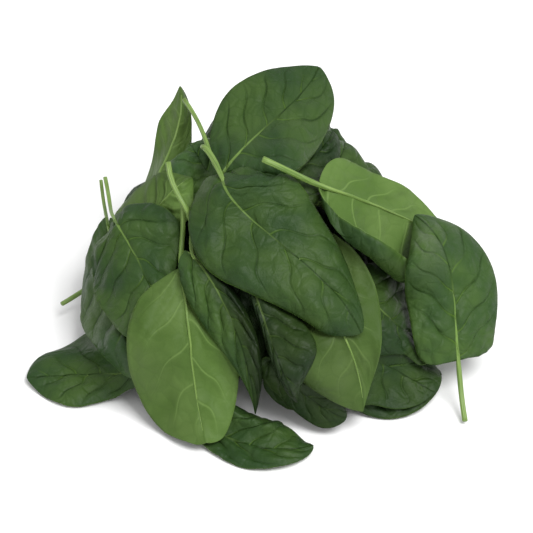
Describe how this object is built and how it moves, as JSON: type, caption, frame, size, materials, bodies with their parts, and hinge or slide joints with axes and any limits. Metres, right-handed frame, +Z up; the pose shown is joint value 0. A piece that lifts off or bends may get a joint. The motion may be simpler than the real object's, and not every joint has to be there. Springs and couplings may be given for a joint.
{
  "type": "heap of baby spinach leaves",
  "caption": "Loose heap of whole baby spinach leaves with their stalks, piled on one another round a flat-based core.",
  "frame": {"origin": "on the table, under the middle of the heap", "axes": "+Z up; -Y towards the side of the heap that the picture shows; +X to that viewer's right"},
  "size_m": [0.1551, 0.1387, 0.0737],
  "materials": {
    "spinach_leaf": "matte to satin leaf, dark green above and paler yellow-green below, with pale green veins and stalks"
  },
  "bodies": {
    "root": {"spinach_heap": "spinach_leaf"}
  },
  "joints": []
}
